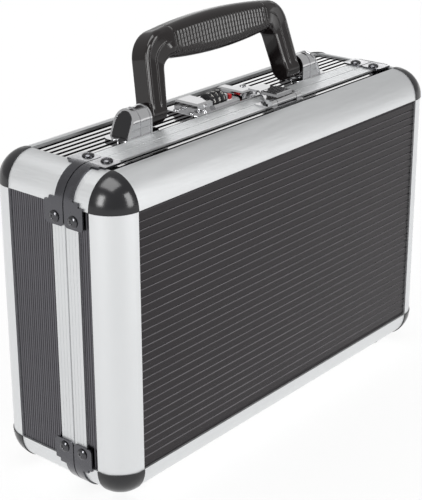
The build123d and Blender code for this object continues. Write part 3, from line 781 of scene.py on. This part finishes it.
def lining(half):
    """Quilted cloth over foam, made from the plain CAD tray."""
    source = nodes[f"{half}_liner"]
    piece = bpy.data.objects.new(f"{half}_lining", source.data.copy())
    bpy.context.scene.collection.objects.link(piece)
    remesh = piece.modifiers.new("even", "REMESH")
    remesh.mode = "VOXEL"
    remesh.voxel_size = VOXEL
    bpy.context.view_layer.update()
    evaluated = piece.evaluated_get(bpy.context.evaluated_depsgraph_get())
    mesh = bpy.data.meshes.new_from_object(evaluated)
    bpy.data.objects.remove(piece)
    sign = 1 if half == "base" else -1
    normals = [Vector(n.vector) for n in mesh.vertex_normals]
    moves = []
    for vertex, normal in zip(mesh.vertices, normals):
        x, y, z = (c / MM for c in vertex.co)
        z -= middle_z
        depth = (sign * TRAY_DEPTH - y) * sign
        wall = TRAY_HALF_LENGTH - abs(x)
        end = TRAY_HALF_HEIGHT - abs(z)
        inward = 0.0
        if abs(depth) < FACE_REACH and min(wall, end) > 0:
            inward = quilt(x, z) * smooth(min(wall, end) / QUILT_FADE)
        elif depth > 0 and abs(wall) < FACE_REACH and end > 0:
            inward = quilt(y, z) * smooth(min(depth, end) / QUILT_FADE)
        elif depth > 0 and abs(end) < FACE_REACH and wall > 0:
            inward = quilt(x, y) * smooth(min(depth, wall) / QUILT_FADE)
        moves.append(normal * inward * MM)
    for vertex, move in zip(mesh.vertices, moves):
        vertex.co += move
    mesh.shade_smooth()
    made = from_mesh(f"{half}_lining", mesh, lining_cloth, half)
    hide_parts(f"{half}_liner")


for half in ("base", "lid"):
    lining(half)

# ---------------------------------------------------------------- studio

FLOOR_HALF = 6  # metres
FLOOR_CLEAR = 0.68  # how much of the floor is see-through
LIGHT_DISTANCE = 1.6

square = ((-1, -1), (1, -1), (1, 1), (-1, 1))
floor_corners = [(x * FLOOR_HALF, y * FLOOR_HALF, 0) for x, y in square]
floor_mesh = bpy.data.meshes.new("floor")
floor_mesh.from_pydata(floor_corners, [], [(0, 1, 2, 3)])
floor = bpy.data.objects.new("floor", floor_mesh)
bpy.context.scene.collection.objects.link(floor)
floor_paint = new_material("floor_paint", (0.8, 0.8, 0.8), 0.0, 0.7)
shader_of(floor_paint).inputs["Emission Color"].default_value = (1, 1, 1, 1)
shader_of(floor_paint).inputs["Emission Strength"].default_value = 0.6
tint(floor_paint, noise(floor_paint, 3, 3), (0.79, 0.79, 0.79), (0.82, 0.82, 0.82))
bump(floor_paint, noise(floor_paint, 120, 3), 0.0002, 0.2)
floor_mesh.materials.append(floor_paint)

# The case stands on its hinge side, so its open lid hangs below the floor, which lets it show.
see_through = add(floor_paint, "BsdfTransparent")
frosted = add(floor_paint, "MixShader")
frosted.inputs[0].default_value = FLOOR_CLEAR
surface = floor_paint.node_tree.nodes["Material Output"].inputs["Surface"]
link(floor_paint, shader_of(floor_paint).outputs[0], frosted.inputs[1])
link(floor_paint, see_through.outputs[0], frosted.inputs[2])
link(floor_paint, frosted.outputs[0], surface)

world = bpy.data.worlds.new("studio")
bpy.context.scene.world = world
world.use_nodes = True
sky = world.node_tree.nodes["Background"]
sky.inputs["Color"].default_value = (1, 1, 1, 1)
place = add(world, "TexCoord")
split = add(world, "SeparateXYZ")
link(world, place.outputs["Generated"], split.inputs[0])
level = span(world, split.outputs["Z"], 1.0, 0.5, -0.02, 0.02)  # dimmer above the floor
ray = add(world, "LightPath")
backdrop = add(world, "Math", operation="MAXIMUM")  # and white behind the case
link(world, ray.outputs["Is Camera Ray"], backdrop.inputs[0])
link(world, level, backdrop.inputs[1])
link(world, backdrop.outputs[0], sky.inputs["Strength"])


def towards(azimuth, elevation):
    """A direction. Azimuth 0 is in front of the case and 90 on its right."""
    a, e = radians(azimuth), radians(elevation)
    return Vector((sin(a) * cos(e), -cos(a) * cos(e), sin(e)))


def softbox(name, azimuth, elevation, size, radiance, flagged, target=(0, 0, 0.1)):
    """A soft rectangular light that faces the target and is kept off the flagged objects."""
    back = towards(azimuth, elevation)
    data = bpy.data.lights.new(name, "AREA")
    data.shape = "RECTANGLE"
    data.size, data.size_y = size
    data.energy = radiance * pi * size[0] * size[1]  # in watts
    lamp = bpy.data.objects.new(name, data)
    lamp.location = Vector(target) + back * LIGHT_DISTANCE
    lamp.rotation_mode = "QUATERNION"
    lamp.rotation_quaternion = back.to_track_quat("Z", "Y")
    lamp.visible_camera = False
    bpy.context.scene.collection.objects.link(lamp)
    flags = bpy.data.collections.new(f"{name}_flags")
    for thing in flagged:
        flags.objects.link(thing)
    lamp.light_linking.receiver_collection = flags
    for entry in flags.collection_objects:
        entry.light_linking.link_state = "EXCLUDE"


meshes = [thing for thing in bpy.data.objects if thing.type == "MESH"]
panels = [thing for thing in meshes if thing.name.endswith("panel")]
edges = [thing for thing in meshes if thing.name.endswith(("_edge", "corner_edges"))]
frames = [nodes["base_frame"], nodes["lid_frame"]]
straps = [nodes["base_corner_straps"], nodes["lid_corner_straps"]]
not_panels = [thing for thing in meshes if thing not in panels + straps]
not_frames = [thing for thing in meshes if thing not in frames]
not_faces = [thing for thing in meshes if not thing.name.endswith("face_panel")]
not_chrome = [floor, *panels, *straps, *edges, *frames]
TOP = (0, 0, top_z * MM)
BEHIND_RIGHT = (131, 16.5, (1.3, 0.42))  # place and size of three lights that differ in strength
softbox("panel_light", *BEHIND_RIGHT, 2.3, not_panels, TOP)
softbox("frame_light", *BEHIND_RIGHT, 1.6, not_frames, TOP)
softbox("chrome_light", *BEHIND_RIGHT, 0.5, not_chrome, TOP)
softbox("groove_light", 62, 37, (0.9, 0.7), 2.6, not_faces)
softbox("top_light", -90, 79, (1.2, 1.05), 5.0, [floor])
softbox("left_light", -89, 25.5, (0.5, 0.8), 12.0, [floor])
softbox("front_light", 7, 24, (0.55, 1.1), 8.0, [floor])

# ---------------------------------------------------------------- camera

CAM_AZIMUTH, CAM_ELEVATION, CAM_ROLL = -49.669, 21.345, 0.228  # degrees
CAM_DISTANCE = 0.9338
CAM_TARGET = Vector((-0.0230, 0, 0.1344))
back = towards(CAM_AZIMUTH, CAM_ELEVATION)
roll = Matrix.Rotation(-radians(CAM_ROLL), 3, "Z").to_quaternion()
lens = bpy.data.cameras.new("camera")
lens.sensor_width = 36
lens.lens = 101.08
lens.shift_x, lens.shift_y = 0.0094, -0.0519
lens.clip_start, lens.clip_end = 0.01, 50
camera = bpy.data.objects.new("camera", lens)
camera.location = CAM_TARGET + back * CAM_DISTANCE
camera.rotation_mode = "QUATERNION"
camera.rotation_quaternion = back.to_track_quat("Z", "Y") @ roll
bpy.context.scene.collection.objects.link(camera)
bpy.context.scene.camera = camera
bpy.context.scene.view_settings.view_transform = "Standard"
